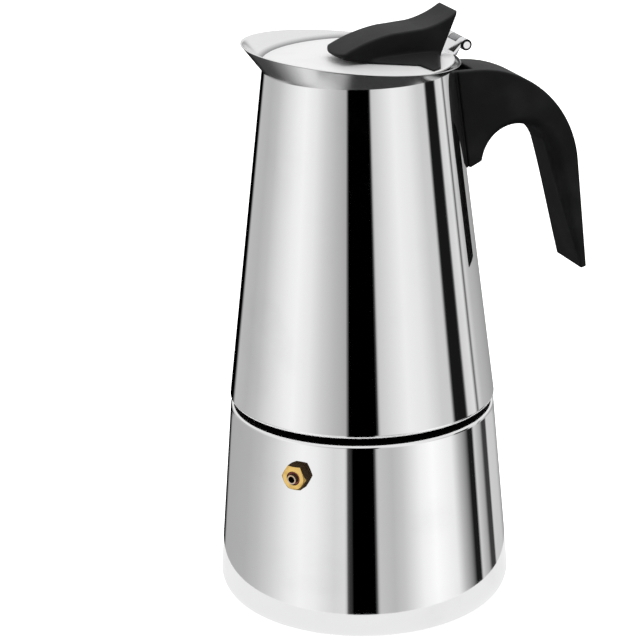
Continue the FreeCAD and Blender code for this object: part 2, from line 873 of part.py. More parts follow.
def make_knob():
    """A broad finger rest with a raised tail, on a skirt with two wings."""
    nose = knob_heel - knob_length
    front = nose - knob_front_sag
    keel = knob_heel - skirt_front
    side = padded(
        "knob_side",
        "XZ_Plane",
        [
            (knob_heel, lid_top),
            (knob_tail, lid_top + knob_height, -knob_tail_arc),
            (knob_heel - knob_saddle, lid_top + knob_saddle_height),
            (knob_heel - knob_brow, lid_top + knob_brow_height, knob_back_arc),
            (front, lid_top + knob_front_height),
            (front, lid_top + knob_front_lift),
            (keel, lid_top),
        ],
        knob_half_width * REACH,
    )
    plan = padded(
        "knob_plan",
        "XY_Plane",
        [
            (knob_tail * REACH, -knob_half_width),
            (knob_tail * REACH, knob_half_width),
            (nose, knob_half_width, knob_front_arc),
            (nose, -knob_half_width),
        ],
        knob_height * REACH,
    )
    place(plan, z=lid_top)
    rest = boolean("Common", "knob_upper", side, plan)

    wing_reach = lid_radius - wing_inset
    stations = [keel, knob_heel - skirt_waist] + [
        wing_reach * cosine(angle) for angle in (wing_front_angle, wing_rear_angle)
    ] + [knob_heel]
    low_widths = [knob_half_width, skirt_waist_width] + [
        wing_reach * sine(angle) for angle in (wing_front_angle, wing_rear_angle)
    ] + [knob_half_width]
    high_widths = [knob_half_width - skirt_edge] * len(stations)

    def wings(widths, level):
        half = list(zip(stations, widths))
        corners = [(x, -width) for x, width in half] + [(x, width) for x, width in reversed(half)]
        return raise_sketch(outline(skirt, "XY_Plane", corners), level)

    skirt = doc.addObject("PartDesign::Body", "knob_skirt")
    pad = skirt.newObject("PartDesign::Pad", "skirt_pad")
    pad.Profile = wings(low_widths, lid_top)
    bind(pad, Length=skirt_edge)
    slope = skirt.newObject("PartDesign::AdditiveLoft", "skirt_slope")
    slope.Profile = wings(low_widths, lid_top + skirt_edge)
    slope.Sections = [wings(high_widths, lid_top + skirt_height)]
    slope.Ruled = True

    solid = fuse("knob_solid", rest, skirt)
    holes = [cylinder("knob_hole", screw_radius, screw_depth, x=x, z=lid_top) for x in screw_places]
    drilled = cut("knob_drilled", solid, *holes)

    def on_ridge(edge):
        middle = edge.valueAt((edge.FirstParameter + edge.LastParameter) / 2)
        beside = abs(abs(middle.y) - knob_half_width.value) < PICK_TOLERANCE
        above = edge.BoundBox.ZMin > (lid_top + knob_front_lift).value
        return beside and above and edge.BoundBox.XMax > edge.BoundBox.XMin + PICK_TOLERANCE

    node(filleted("knob_rounded", drilled, (on_ridge, knob_edge_round, knob_edge_round)), "lid_knob")


def make_knob_screws():
    screws = []
    head_z = lid_base - screw_head_height
    for x in screw_places:
        head = cylinder("screw_head", screw_head_radius, screw_head_height, x=x, z=head_z)
        shank = cylinder("screw_shank", screw_radius, lid_height + screw_depth, x=x, z=lid_base)
        screws.append(fuse("screw", head, shank))
    group = doc.addObject("Part::Compound", "screw_pair")
    group.Links = screws
    node(group, "knob_screws")


# Handle

handle_screw_x = upper_radius(tongue_level) + handle_screw_reach
handle_screw_z = tongue_level - handle_screw_seat


def beside_upper(name, distance):
    """The upper vessel's outside, grown by a distance."""
    return cone(
        name, upper_base_radius + distance, upper_top_radius + distance, upper_height, z=upper_base
    )


def root_groove():
    """A shallow groove down both sides of the handle, along the vessel's wall."""
    far = beside_upper("groove_outside", root_groove_reach + root_groove_width)
    near = beside_upper("groove_inside", root_groove_reach)
    core_width = handle_root_width - root_groove_depth * 2
    core = box("groove_core", upper_base_radius * REACH, core_width, upper_height, 0, upper_base)
    return cut("groove_ring", far, near, core)


def make_handle():
    arc_end_x = handle_arc_x + handle_arc_radius * cosine(handle_outer_lean)
    arc_end_z = handle_arc_z + handle_arc_radius * sine(handle_outer_lean)
    outer_run = sine(handle_outer_lean) / cosine(handle_outer_lean)
    inner_run = sine(handle_inner_lean) / cosine(handle_inner_lean)
    arch_x = handle_arc_x + arch_reach
    arch_z = handle_arc_z + arch_rise
    leg_x = arch_x + arch_radius * cosine(handle_inner_lean)
    leg_z = arch_z + arch_radius * sine(handle_inner_lean)
    heel_x = arch_x + arch_radius * cosine(arch_left_angle)
    heel_z = arch_z + arch_radius * sine(arch_left_angle)
    tip_z = handle_tip_level - handle_tip_drop
    within = upper_top_radius / 2
    side = padded(
        "handle_side",
        "XZ_Plane",
        [
            (within, handle_top),
            (handle_arc_x, handle_top, -handle_arc_radius),
            (arc_end_x, arc_end_z),
            (arc_end_x + outer_run * (arc_end_z - handle_tip_level), handle_tip_level),
            (leg_x + inner_run * (leg_z - tip_z), tip_z),
            (leg_x, leg_z, arch_radius),
            (heel_x, heel_z),
            (heel_x - root_toe, root_bottom),
            (within, root_bottom),
        ],
        handle_tip_width * REACH,
    )
    front = padded(
        "handle_front",
        "YZ_Plane",
        [
            (-(handle_root_width / 2), handle_top),
            (-(handle_tip_width / 2), tip_z),
            (handle_tip_width / 2, tip_z),
            (handle_root_width / 2, handle_top),
        ],
        (handle_arc_x + handle_arc_radius) * REACH,
    )
    blank = boolean("Common", "handle_blank", side, front)

    def lengthwise(edge):
        return edge.BoundBox.YMin * edge.BoundBox.YMax > 0

    def on_leg(edge):
        start, end = [point.Point for point in edge.Vertexes]
        low = min(start.z, end.z) < tip_z.value + PICK_TOLERANCE
        return lengthwise(edge) and low and max(start.z, end.z) > handle_tip_level.value + PICK_TOLERANCE

    def on_arch(edge):
        return lengthwise(edge) and abs(edge.BoundBox.ZMax - (arch_z + arch_radius).value) < CURVE_TOLERANCE

    def on_back(edge):
        ends = [point.Point for point in edge.Vertexes]
        outside = all(point.x > handle_arc_x.value - PICK_TOLERANCE for point in ends)
        high = all(point.z > handle_tip_level.value - PICK_TOLERANCE for point in ends)
        return lengthwise(edge) and outside and high and not on_arch(edge) and not on_leg(edge)

    eased = filleted("handle_back", blank, (on_back, handle_outer_round, handle_outer_round))
    eased = filleted(
        "handle_inner",
        eased,
        (on_arch, handle_grip_round, handle_arch_round),
        (on_leg, handle_grip_round, handle_tip_round),
    )
    slot = box(
        "handle_slot",
        upper_radius(tongue_level) + tongue_reach + tongue_clearance,
        tongue_width + tongue_clearance * 2,
        tongue_height + tongue_clearance,
        0,
        tongue_level,
    )
    hole_size = handle_screw_radius + handle_screw_play
    hole = cylinder("handle_hole", hole_size, handle_screw_seat, x=handle_screw_x, z=handle_screw_z)
    well_size = handle_screw_head_radius + handle_screw_play
    well_depth = handle_screw_z - root_bottom
    well = cylinder("handle_well", well_size, well_depth, x=handle_screw_x, z=root_bottom)
    pocket = box(
        "handle_pocket",
        upper_top_radius + pocket_reach,
        pocket_width,
        pocket_depth * REACH,
        0,
        handle_top - pocket_depth,
    )
    fitted = cut("handle_fitted", eased, upper_outside, slot, hole, well, pocket, root_groove())
    node(fitted, "handle")


def make_handle_fastening():
    """The tongue on the vessel that the handle slides over, and the screw from below."""
    reach = upper_radius(tongue_level) + tongue_reach
    tongue = box("tongue_block", reach, tongue_width, tongue_height, 0, tongue_level)
    bite = cylinder("tongue_hole", handle_screw_radius, handle_screw_bite, x=handle_screw_x, z=tongue_level)
    node(cut("tongue_fitted", tongue, upper_outside, bite), "handle_bracket")

    low = {"x": handle_screw_x, "z": handle_screw_z - handle_screw_head}
    head = cylinder("grip_screw_head", handle_screw_head_radius, handle_screw_head, **low)
    shank_length = handle_screw_seat + handle_screw_bite
    shank = cylinder(
        "grip_screw_shank", handle_screw_radius, shank_length, x=handle_screw_x, z=handle_screw_z
    )
    socket = hexagon("grip_screw_socket", handle_screw_socket, handle_screw_head / 2, **low)
    node(cut("grip_screw", fuse("grip_screw_solid", head, shank), socket), "handle_screw")


def export():
    doc.recompute()
    for item in doc.Objects:
        if {"Invalid", "Error"} & set(item.State):
            raise RuntimeError(f"{item.Label} failed: {item.State}")
    for item in nodes:
        if item.Shape.isNull() or not item.Shape.isValid():
            raise RuntimeError(f"{item.Label} has no valid shape")
    for item in nodes:
        item.Shape.exportStep(f"parts/{item.Label}.step")
        print(item.Label, len(item.Shape.Solids), round(item.Shape.Volume, 1))


make_boiler_shell()
make_boiler_neck()
make_valve_body()
make_valve_fastening()
make_valve_inside()
make_funnel()
make_seal()
make_upper_vessel()
make_column()
make_collar()
make_lid_disc()
make_lid_leaf()
make_hinge_bracket()
make_knob()
make_knob_screws()
make_handle()
make_handle_fastening()
export()
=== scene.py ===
"""Looks of a stovetop coffee maker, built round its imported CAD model. Metres, +Z up, handle at +X."""

import logging
import math
from dataclasses import dataclass
from enum import Enum
from typing import Any, Callable, Iterable, Sequence, Union

import bmesh
import bpy
from mathutils import Euler, Matrix, Vector


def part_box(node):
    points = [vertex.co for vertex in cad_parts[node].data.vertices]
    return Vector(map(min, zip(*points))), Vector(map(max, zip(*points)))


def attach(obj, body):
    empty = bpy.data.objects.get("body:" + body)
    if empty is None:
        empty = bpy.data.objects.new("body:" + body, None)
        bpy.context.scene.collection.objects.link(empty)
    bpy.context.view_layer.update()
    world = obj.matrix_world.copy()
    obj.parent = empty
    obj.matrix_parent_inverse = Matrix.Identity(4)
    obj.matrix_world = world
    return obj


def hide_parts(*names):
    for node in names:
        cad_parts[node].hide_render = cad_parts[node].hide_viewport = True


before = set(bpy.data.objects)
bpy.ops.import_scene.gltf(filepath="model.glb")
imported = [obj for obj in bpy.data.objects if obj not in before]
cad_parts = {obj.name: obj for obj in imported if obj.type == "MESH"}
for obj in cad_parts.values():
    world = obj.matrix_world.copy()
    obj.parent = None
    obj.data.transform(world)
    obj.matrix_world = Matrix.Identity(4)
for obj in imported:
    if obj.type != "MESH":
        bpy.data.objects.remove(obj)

log = logging.getLogger("coffee_maker")

MM = 0.001
NOISE_ROUGHNESS = 0.55

Triple = tuple[float, float, float]
Colour = Triple
Range = tuple[float, float]

UP: Triple = (0.0, 0.0, 1.0)


class Body(str, Enum):
    """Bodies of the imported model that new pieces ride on."""

    BOILER = "boiler"
    UPPER = "upper"
    LID = "lid"


class Slot(str, Enum):
    """Material slots of the record, passed along when new pieces are fitted."""

    POLISHED = "polished_steel"
    BRASS = "valve_brass"


class Link(str, Enum):
    """Which pieces a thing of the studio lights, out of those that it names."""

    ONLY = "INCLUDE"
    ALL_BUT = "EXCLUDE"


# Shader building


class Value:
    """A socket of a shader that takes part in Python arithmetic."""

    def __init__(self, shader: "Shader", socket: bpy.types.NodeSocket) -> None:
        """Wraps one output socket."""
        self.shader = shader
        self.socket = socket

    def _math(self, operation: str, *values: "Number") -> "Value":
        """Adds a Math node.

        Args:
            operation: the Math node's operation.
            values: its values, in order.

        Returns:
            The node's result.
        """
        return self.shader.node("ShaderNodeMath", {"operation": operation}, dict(enumerate(values)))[0]

    def __add__(self, other: "Number") -> "Value":
        """Sum."""
        return self._math("ADD", self, other)

    def __radd__(self, other: "Number") -> "Value":
        """Sum, with this value second."""
        return self._math("ADD", other, self)

    def __sub__(self, other: "Number") -> "Value":
        """Difference."""
        return self._math("SUBTRACT", self, other)

    def __rsub__(self, other: "Number") -> "Value":
        """Difference, with this value second."""
        return self._math("SUBTRACT", other, self)

    def __mul__(self, other: "Number") -> "Value":
        """Product."""
        return self._math("MULTIPLY", self, other)

    def __abs__(self) -> "Value":
        """Size without its sign."""
        return self._math("ABSOLUTE", self)

    def cosine(self) -> "Value":
        """Cosine of this value in radians."""
        return self._math("COSINE", self)


Number = Union[Value, float]
Setting = dict[str, Any]


class Shader:
    """Node tree of one material."""

    def __init__(self, name: str) -> None:
        """Starts an empty material.

        Args:
            name: the material's name.
        """
        self.material = bpy.data.materials.new(name)
        self.material.use_nodes = True
        self.tree = self.material.node_tree
        self.tree.nodes.clear()

    def node(self, kind: str, settings: Setting, inputs: dict[Union[str, int], Any]) -> list[Value]:
        """Adds any node.

        Args:
            kind: the node's type.
            settings: its own properties, set first; "stops" are a colour ramp's (place, colour) pairs.
            inputs: values or links by socket name or number.

        Returns:
            Its output sockets.
        """
        made = self.tree.nodes.new(kind)
        for name, value in settings.items():
            if name == "stops":
                self._set_stops(made.color_ramp, value)
            else:
                setattr(made, name, value)
        for name, value in inputs.items():
            if isinstance(value, Value):
                self.tree.links.new(value.socket, made.inputs[name])
            else:
                made.inputs[name].default_value = value
        return [Value(self, socket) for socket in made.outputs]

    @staticmethod
    def _set_stops(ramp: bpy.types.ColorRamp, stops: Sequence[tuple[float, Colour]]) -> None:
        """Sets a colour ramp's stops.

        Args:
            ramp: the ramp.
            stops: its (place, colour) pairs, in order.
        """
        while len(ramp.elements) < len(stops):
            ramp.elements.new(1.0)
        for element, (place, colour) in zip(ramp.elements, stops):
            element.position = place
            element.color = (*colour, 1.0)

    def place(self) -> Value:
        """Coordinates on the piece, in metres."""
        return self.node("ShaderNodeTexCoord", {}, {})[3]

    def axes(self, vector: Value) -> list[Value]:
        """The three numbers of a vector."""
        return self.node("ShaderNodeSeparateXYZ", {}, {0: vector})

    def stretched(self, vector: Value, scale: Triple) -> Value:
        """Coordinates stretched along their axes."""
        return self.node("ShaderNodeMapping", {}, {"Vector": vector, "Scale": scale})[0]

    def noise(self, vector: Value, scale: float = 1.0, detail: float = 4.0) -> Value:
        """Soft noise from 0 to 1."""
        sizes = {"Vector": vector, "Scale": scale, "Detail": detail, "Roughness": NOISE_ROUGHNESS}
        return self.node("ShaderNodeTexNoise", {}, sizes)[0]

    def ramp(self, factor: Value, *stops: tuple[float, Colour]) -> Value:
        """Colours picked by a value."""
        return self.node("ShaderNodeValToRGB", {"stops": stops}, {0: factor})[0]

    def mixed(self, factor: Value, first: Any, second: Any) -> Value:
        """A colour from first, at factor 0, to second, at factor 1."""
        return self.node("ShaderNodeMix", {"data_type": "RGBA"}, {0: factor, 6: first, 7: second})[2]

    def within(self, factor: Value, low: float, high: float) -> Value:
        """A smooth step from 0 at low to 1 at high."""
        settings = {"interpolation_type": "SMOOTHSTEP"}
        return self.node("ShaderNodeMapRange", settings, {0: factor, 1: low, 2: high})[0]

    def facing(self) -> Value:
        """The direction that the surface faces, on the piece."""
        return self.node("ShaderNodeTexCoord", {}, {})[1]

    def along(self, vector: Value, axis: Sequence[float]) -> Value:
        """Length of a vector along an axis."""
        return self.node("ShaderNodeVectorMath", {"operation": "DOT_PRODUCT"}, {0: vector, 1: axis})[1]

    def from_axis(self, vector: Value, point: Sequence[float], axis: Sequence[float]) -> Value:
        """Distance of a vector from an axis.

        Args:
            vector: the vector.
            point: a point of the axis.
            axis: the axis's direction, of length 1.

        Returns:
            The distance.
        """
        arm = self.node("ShaderNodeVectorMath", {"operation": "SUBTRACT"}, {0: vector, 1: point})[0]
        across = self.node("ShaderNodeVectorMath", {"operation": "CROSS_PRODUCT"}, {0: arm, 1: axis})[0]
        return self.node("ShaderNodeVectorMath", {"operation": "LENGTH"}, {0: across})[1]

    def rounded(self, radius: float) -> Value:
        """A normal that rounds the edges of a piece."""
        return self.node("ShaderNodeBevel", {"samples": 6}, {"Radius": radius})[0]

    def bump(self, height: Value, strength: float, distance: float, **under: Value) -> Value:
        """A normal raised by a height in 0 to 1 times a distance in metres."""
        sizes = {"Height": height, "Strength": strength, "Distance": distance, **under}
        return self.node("ShaderNodeBump", {}, sizes)[0]

    def finish(self, **inputs: Any) -> bpy.types.Material:
        """Ends the tree in a Principled shader.

        Args:
            inputs: values or links by socket name, with _ for a space.

        Returns:
            The material.
        """
        named = {name.replace("_", " "): value for name, value in inputs.items()}
        shader = self.node("ShaderNodeBsdfPrincipled", {}, named)[0]
        self.node("ShaderNodeOutputMaterial", {}, {"Surface": shader})
        return self.material

    def glow(self, colour: Value, clear: bool = False) -> bpy.types.Material:
        """Ends the tree in a surface that gives plain light.

        Args:
            colour: the light's colour.
            clear: whether the surface also lets through what is behind it.

        Returns:
            The material.
        """
        light = self.node("ShaderNodeEmission", {}, {"Color": colour, "Strength": 1.0})[0]
        if clear:
            glass = self.node("ShaderNodeBsdfTransparent", {}, {})[0]
            light = self.node("ShaderNodeAddShader", {}, {0: glass, 1: light})[0]
        self.node("ShaderNodeOutputMaterial", {}, {"Surface": light})
        return self.material


# Finishes


@dataclass(frozen=True)
class PolishedSteel:
    """Polished stainless steel with faint smudges and fine polishing lines, and painted shade on upward
    faces below a level.
    """

    name: str = "polished_steel_look"
    tint: Colour = (0.86, 0.86, 0.862)
    smudged: Colour = (0.82, 0.82, 0.825)
    roughness: float = 0.035
    smudge: float = 0.03
    smudge_scale: float = 38.0
    smudge_range: Range = (0.5, 0.78)
    line_stretch: Triple = (60.0, 60.0, 4200.0)
    line_strength: float = 0.2
    line_height: float = 0.0000015
    # Painted shade: the colour that upward faces take below the level that follows, standing for the shade
    # beside the lid's edge.
    dull: Colour = (0.30, 0.30, 0.305)
    painted_shade_level: float = -1.0
    painted_shade_fade: float = 0.9 * MM
    upward_range: Range = (-0.05, 0.05)

    def material(self) -> bpy.types.Material:
        """Makes the material.

        Returns:
            The material.
        """
        shader = Shader(self.name)
        place = shader.place()
        smudges = shader.within(shader.noise(place, self.smudge_scale), *self.smudge_range)
        lines = shader.noise(shader.stretched(place, self.line_stretch), detail=2.0)
        level = shader.axes(place)[2]
        # Painted shade on upward faces below the level.
        low = 1.0 - shader.within(level, self.painted_shade_level - self.painted_shade_fade, self.painted_shade_level + self.painted_shade_fade)
        upward = shader.within(shader.along(shader.facing(), UP), *self.upward_range)
        polished = shader.ramp(smudges, (0.0, self.tint), (1.0, self.smudged))
        return shader.finish(
            Base_Color=shader.mixed(low * upward, polished, (*self.dull, 1.0)),
            Metallic=1.0,
            Roughness=self.roughness + smudges * self.smudge,
            Normal=shader.bump(lines, self.line_strength, self.line_height),
        )


@dataclass(frozen=True)
class SatinSteel:
    """Plain steel of the lid and the inner pieces, with a fine grain and a little staining."""

    name: str = "satin_steel_look"
    tint: Colour = (0.66, 0.66, 0.67)
    stained: Colour = (0.50, 0.49, 0.47)
    stain_scale: float = 55.0
    stain_range: Range = (0.45, 0.8)
    stain_roughness: float = 0.06
    roughness: float = 0.26
    metal: float = 1.0
    grain_stretch: Triple = (900.0, 900.0, 90.0)
    grain_roughness: float = 0.12
    grain_strength: float = 0.3
    grain_height: float = 0.02 * MM

    def material(self) -> bpy.types.Material:
        """Makes the material.

        Returns:
            The material.
        """
        shader = Shader(self.name)
        place = shader.place()
        stain = shader.within(shader.noise(place, self.stain_scale, detail=6.0), *self.stain_range)
        grain = shader.noise(shader.stretched(place, self.grain_stretch), detail=3.0)
        return shader.finish(
            Base_Color=shader.ramp(stain, (0.0, self.tint), (1.0, self.stained)),
            Metallic=self.metal,
            Roughness=self.roughness + grain * self.grain_roughness + stain * self.stain_roughness,
            Normal=shader.bump(grain, self.grain_strength, self.grain_height),
        )


@dataclass(frozen=True)
class SeamSteel:
    """Steel of the threads, painted near-black below the seam's top: painted shade in the groove between the
    two vessels.
    """

    name: str = "seam_steel_look"
    tint: Colour = (0.58, 0.58, 0.59)
    # Painted shade: the near-black colour below the seam's top, for the shade in the groove between the
    # vessels.
    seam_shade: Colour = (0.012, 0.011, 0.010)
    seam_top: float = 72.6 * MM
    fade: float = 1.4 * MM
    roughness: float = 0.55
    above_seam_gloss: float = 0.25
    cloud_scale: float = 160.0
    cloud_roughness: float = 0.08
    cloud_strength: float = 0.3
    cloud_height: float = 0.02 * MM

    def material(self) -> bpy.types.Material:
        """Makes the material.

        Returns:
            The material.
        """
        shader = Shader(self.name)
        place = shader.place()
        level = shader.axes(place)[2]
        cloud = shader.noise(place, self.cloud_scale, detail=5.0)
        # 1 above the seam's top, 0 in the painted shade below it.
        outside_hollow_shade = shader.within(level + cloud * self.fade, self.seam_top, self.seam_top + self.fade * 2)
        return shader.finish(
            Base_Color=shader.mixed(outside_hollow_shade, (*self.seam_shade, 1.0), (*self.tint, 1.0)),
            Metallic=1.0,
            Roughness=self.roughness - outside_hollow_shade * self.above_seam_gloss + cloud * self.cloud_roughness,
            Normal=shader.bump(cloud, self.cloud_strength, self.cloud_height),
        )


@dataclass(frozen=True)
class HingeSteel:
    """Bright bent strip of the hinge, with its ends round the pin coloured near-black."""

    pin: tuple[float, float]
    half_width: float
    name: str = "hinge_steel_look"
    bright: Colour = (0.80, 0.80, 0.81)
    knuckle_end_tone: Colour = (0.012, 0.012, 0.012)
    knuckle: float = 2.1 * MM
    knuckle_fade: float = 0.21 * MM
    end_shares: Range = (0.985, 0.995)
    roughness: float = 0.05
    knuckle_end_roughness: float = 0.4
    grain_stretch: Triple = (300.0, 2500.0, 300.0)
    grain_roughness: float = 0.06
    grain_strength: float = 0.2
    grain_height: float = 0.01 * MM

    def material(self) -> bpy.types.Material:
        """Makes the material.

        Returns:
            The material.
        """
        shader = Shader(self.name)
        place = shader.place()
        away = shader.from_axis(place, (self.pin[0], 0.0, self.pin[1]), (0.0, 1.0, 0.0))
        near_pin = 1.0 - shader.within(away, self.knuckle, self.knuckle + self.knuckle_fade)
        aside = abs(shader.axes(place)[1])
        at_end = shader.within(aside, *[self.half_width * share for share in self.end_shares])
        # The leaf's ends round the pin are coloured near-black.
        dark = near_pin * at_end
        grain = shader.noise(shader.stretched(place, self.grain_stretch), detail=3.0)
        return shader.finish(
            Base_Color=shader.mixed(dark, (*self.bright, 1.0), (*self.knuckle_end_tone, 1.0)),
            Metallic=1.0,
            Roughness=self.roughness + grain * self.grain_roughness + dark * self.knuckle_end_roughness,
            Normal=shader.bump(grain, self.grain_strength, self.grain_height),
        )


@dataclass(frozen=True)
class TurnedBrass:
    """Brass of the safety valve: bright on faces along its axis, with painted shade on its sides and in its
    bore.
    """

    centre: Triple
    axis: Triple
    bore: float
    name: str = "turned_brass_look"
    bright: Colour = (0.84, 0.57, 0.19)
    tarnished: Colour = (0.62, 0.38, 0.11)
    # Painted shade: the colour of the sides, which face away from the valve's axis.
    dark: Colour = (0.030, 0.020, 0.011)
    # Painted shade: the near-black colour inside the bore.
    bore_shade: Colour = (0.006, 0.005, 0.004)
    bore_shade_shares: Range = (1.02, 1.12)
    facing_out_range: Range = (0.15, 0.6)
    roughness: float = 0.2
    uneven: float = 0.12
    tarnish_scale: float = 420.0
    tarnish_range: Range = (0.45, 0.8)
    mark_scale: float = 9000.0
    mark_strength: float = 0.25
    mark_height: float = 0.02 * MM

    def material(self) -> bpy.types.Material:
        """Makes the material.

        Returns:
            The material.
        """
        shader = Shader(self.name)
        place = shader.place()
        away = shader.from_axis(place, self.centre, self.axis)
        tarnish = shader.within(shader.noise(place, self.tarnish_scale, detail=5.0), *self.tarnish_range)
        rings = shader.node("ShaderNodeCombineXYZ", {}, {0: away * self.mark_scale})[0]
        marks = shader.noise(rings, detail=2.0)
        # Faces along the axis keep the brass colours; the sides get the painted shade.
        facing_out = shader.within(shader.along(shader.facing(), self.axis), *self.facing_out_range)
        face = shader.ramp(tarnish, (0.0, self.bright), (1.0, self.tarnished))
        metal = shader.mixed(facing_out, (*self.dark, 1.0), face)
        # Painted shade inside the bore, near-black out to a little past its edge.
        outside_hollow_shade = shader.within(away, *[self.bore * share for share in self.bore_shade_shares])
        return shader.finish(
            Base_Color=shader.mixed(outside_hollow_shade, (*self.bore_shade, 1.0), metal),
            Metallic=outside_hollow_shade * facing_out,
            Specular_IOR_Level=0.0,
            Roughness=self.roughness + marks * self.uneven + tarnish * self.uneven,
            Normal=shader.bump(marks, self.mark_strength, self.mark_height),
        )


@dataclass(frozen=True)
class MouldedPlastic:
    """Black moulded plastic with soft edges, a fine matte grain, and upward faces painted lighter: painted
    top light with a little dust.
    """

    name: str = "moulded_plastic_look"
    black: Colour = (0.0035, 0.0035, 0.0037)
    rubbed: Colour = (0.007, 0.007, 0.0073)
    # Painted top light with dust: upward faces are painted this lighter tone.
    dusty: Colour = (0.012, 0.012, 0.0125)
    dust_range: Range = (0.3, 1.0)
    roughness: float = 0.45
    gloss: float = 0.09
    edge: float = 1.0 * MM
    rub_scale: float = 70.0
    rub_range: Range = (0.4, 0.75)
    rub_gloss: float = 0.06
    grain_scale: float = 2600.0
    grain_roughness: float = 0.12
    grain_strength: float = 0.3
    grain_height: float = 0.05 * MM

    def material(self) -> bpy.types.Material:
        """Makes the material.

        Returns:
            The material.
        """
        shader = Shader(self.name)
        place = shader.place()
        rub = shader.within(shader.noise(place, self.rub_scale, detail=5.0), *self.rub_range)
        grain = shader.noise(place, self.grain_scale, detail=2.0)
        # Upward faces painted lighter: painted top light, with dust.
        dust = shader.within(shader.along(shader.facing(), UP), *self.dust_range)
        moulded = shader.ramp(rub, (0.0, self.black), (1.0, self.rubbed))
        edges = shader.rounded(self.edge)
        return shader.finish(
            Base_Color=shader.mixed(dust, moulded, (*self.dusty, 1.0)),
            Roughness=self.roughness + grain * self.grain_roughness - rub * self.rub_gloss,
            Specular_IOR_Level=self.gloss,
            Normal=shader.bump(grain, self.grain_strength, self.grain_height, Normal=edges),
        )


@dataclass(frozen=True)
class SealRubber:
    """Soft seal with a dusty surface."""

    name: str
    fresh: Colour
    dusty: Colour
    dust_scale: float = 150.0
    dust_range: Range = (0.4, 0.75)
    dust_roughness: float = 0.15
    roughness: float = 0.6
    pore_scale: float = 3200.0
    pore_strength: float = 0.3
    pore_height: float = 0.05 * MM

    def material(self) -> bpy.types.Material:
        """Makes the material.

        Returns:
            The material.
        """
        shader = Shader(self.name)
        place = shader.place()
        dust = shader.within(shader.noise(place, self.dust_scale, detail=6.0), *self.dust_range)
        pores = shader.noise(place, self.pore_scale, detail=2.0)
        return shader.finish(
            Base_Color=shader.ramp(dust, (0.0, self.fresh), (1.0, self.dusty)),
            Roughness=self.roughness + dust * self.dust_roughness,
            Normal=shader.bump(pores, self.pore_strength, self.pore_height),
        )


def dress(nodes: Iterable[str], material: bpy.types.Material) -> None:
    """Gives CAD nodes a material.

    Args:
        nodes: names of the nodes.
        material: what they are made of.
    """
    for name in nodes:
        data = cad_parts[name].data
        data.materials.clear()
        data.materials.append(material)
        log.info("dressed %s in %s", name, material.name)


def soften(node: str, voxel: float, rounds: int) -> None:
    """Rounds the edges of a CAD node.

    Args:
        node: its name.
        voxel: size of its even faces, in metres.
        rounds: how often it is smoothed.
    """
    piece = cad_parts[node]
    even = piece.modifiers.new("even_faces", "REMESH")
    even.mode = "VOXEL"
    even.voxel_size = voxel
    even.use_smooth_shade = True
    smooth = piece.modifiers.new("soft_edges", "SMOOTH")
    smooth.factor = 0.5
    smooth.iterations = rounds


# Meshes


@dataclass(frozen=True)
class Corner:
    """A corner of a turned outline, in metres, and the radius that rounds it."""

    radius: float
    level: float
    round: float = 0.0

    def spot(self) -> Vector:
        """Its place in the outline's plane."""
        return Vector((self.radius, self.level))


@dataclass
class Turning:
    """A smooth piece turned about Z from an outline."""

    name: str
    corners: Sequence[Corner]
    closed: bool
    segments: int = 256
    arc_steps: int = 8
    support: float = 0.35 * MM
    sharp_angle: float = 40.0

    def _rounded(self, before: Vector, corner: Corner, after: Vector) -> list[Vector]:
        """The points that stand for one corner.

        Args:
            before: the corner before it.
            corner: the corner.
            after: the corner after it.

        Returns:
            The corner alone, or the points of its arc.
        """
        spot = corner.spot()
        if corner.round == 0.0:
            return [spot]
        back = (before - spot).normalized()
        ahead = (after - spot).normalized()
        half = back.angle(ahead) / 2
        centre = spot + (back + ahead).normalized() * (corner.round / math.sin(half))
        start = spot + back * (corner.round / math.tan(half)) - centre
        end = spot + ahead * (corner.round / math.tan(half)) - centre
        turn = start.angle_signed(end)
        points = []
        for step in range(self.arc_steps + 1):
            points.append(centre + Matrix.Rotation(-turn * step / self.arc_steps, 2) @ start)
        return points

    def outline(self) -> list[Vector]:
        """Rounds the corners, and adds a support point near each end of a long run.

        Returns:
            The outline's points.
        """
        spots = [corner.spot() for corner in self.corners]
        count = len(spots)
        groups = []
        for index, corner in enumerate(self.corners):
            inner = self.closed or 0 < index < count - 1
            if inner:
                groups.append(self._rounded(spots[index - 1], corner, spots[(index + 1) % count]))
            else:
                groups.append([spots[index]])
        points = []
        for index, group in enumerate(groups):
            points.extend(group)
            if index == count - 1 and not self.closed:
                continue
            start = group[-1]
            run = groups[(index + 1) % count][0] - start
            if run.length > self.support * 4:
                step = run.normalized() * self.support
                points.extend([start + step, start + run - step])
        return points

    def build(self) -> bpy.types.Object:
        """Makes the object.

        Returns:
            The turned piece, linked to the scene.
        """
        mesh = bmesh.new()
        rings = []
        for point in self.outline():
            if point.x < self.support / 100:
                rings.append([mesh.verts.new((0.0, 0.0, point.y))])
                continue
            ring = []
            for step in range(self.segments):
                angle = math.tau * step / self.segments
                ring.append(mesh.verts.new((point.x * math.cos(angle), point.x * math.sin(angle), point.y)))
            rings.append(ring)
        join_rings(mesh, rings, self.closed)
        return smooth_piece(self.name, mesh, self.sharp_angle)


def join_rings(mesh: bmesh.types.BMesh, rings: Sequence[list[bmesh.types.BMVert]], closed: bool) -> None:
    """Joins rings of points with faces.

    Args:
        mesh: the mesh that holds the points.
        rings: rings of as many points each, or of one point on the axis.
        closed: whether the last ring joins the first.
    """
    followers = list(rings[1:]) + ([rings[0]] if closed else [])
    for ring, following in zip(rings, followers):
        count = max(len(ring), len(following))
        for step in range(count):
            after = (step + 1) % count
            corners = [ring[step % len(ring)], ring[after % len(ring)]]
            corners += [following[after % len(following)], following[step % len(following)]]
            mesh.faces.new(list(dict.fromkeys(corners)))


